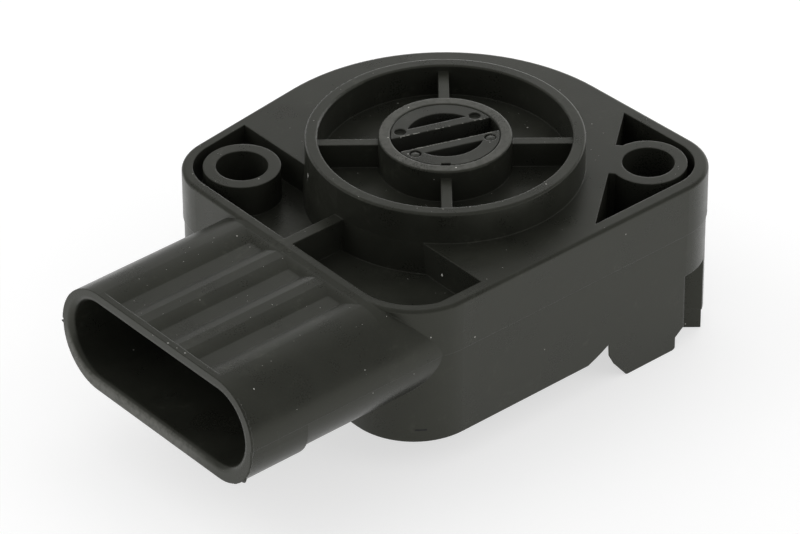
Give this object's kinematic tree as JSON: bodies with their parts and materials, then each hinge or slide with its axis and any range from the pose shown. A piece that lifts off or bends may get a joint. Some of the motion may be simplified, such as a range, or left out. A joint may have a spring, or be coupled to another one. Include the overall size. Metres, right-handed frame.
{
  "type": "accelerator potentiometer",
  "caption": "Rotary pedal position sensor: moulded black body with bolt ears, raised pilot ring, slotted sprung rotor in a spoked hub, and a shrouded flat-oval plug socket.",
  "frame": {"origin": "on the rotor axis, in the plane of the ear bosses and the deck at the foot of the pilot ring", "axes": "+Z along the rotor axis, out of the pilot ring; +X the way a plug leaves the socket"},
  "size_m": [0.0779, 0.0501, 0.0285],
  "materials": {
    "housing_plastic": "moulded glass-filled plastic, fine grain",
    "rotor_plastic": "moulded plastic, smooth",
    "cover_plastic": "moulded plastic, fine grain",
    "washer_plastic": "white bearing plastic",
    "seal_rubber": "black sealing rubber",
    "spring_steel": "bright spring wire",
    "board_ceramic": "fired ceramic substrate",
    "resistor_print": "printed resistive ink",
    "collector_print": "printed silver conductor",
    "wiper_metal": "sprung contact alloy",
    "terminal_metal": "tinned blade"
  },
  "bodies": {
    "housing": {"housing": "housing_plastic", "rear_cover": "cover_plastic", "cover_seal": "seal_rubber", "return_spring": "spring_steel", "element_board": "board_ceramic", "collector_track_1": "collector_print", "collector_track_2": "collector_print", "resistor_track_1": "resistor_print", "resistor_track_2": "resistor_print", "terminal_1": "terminal_metal", "terminal_2": "terminal_metal", "terminal_3": "terminal_metal", "terminal_4": "terminal_metal", "terminal_5": "terminal_metal", "terminal_6": "terminal_metal"},
    "rotor": {"rotor": "rotor_plastic", "rotor_seal": "seal_rubber", "thrust_washer": "washer_plastic", "wiper_1": "wiper_metal", "wiper_2": "wiper_metal"}
  },
  "joints": [
    {"name": "rotor_turn", "type": "hinge", "parent": "housing", "child": "rotor", "pos_m": [0, 0, 0], "axis": [0, 0, 1], "range_deg": [0, 70], "stiffness_Nm_per_rad": 0.02, "springref_deg": -22.92, "deforming": ["return_spring"]}
  ]
}
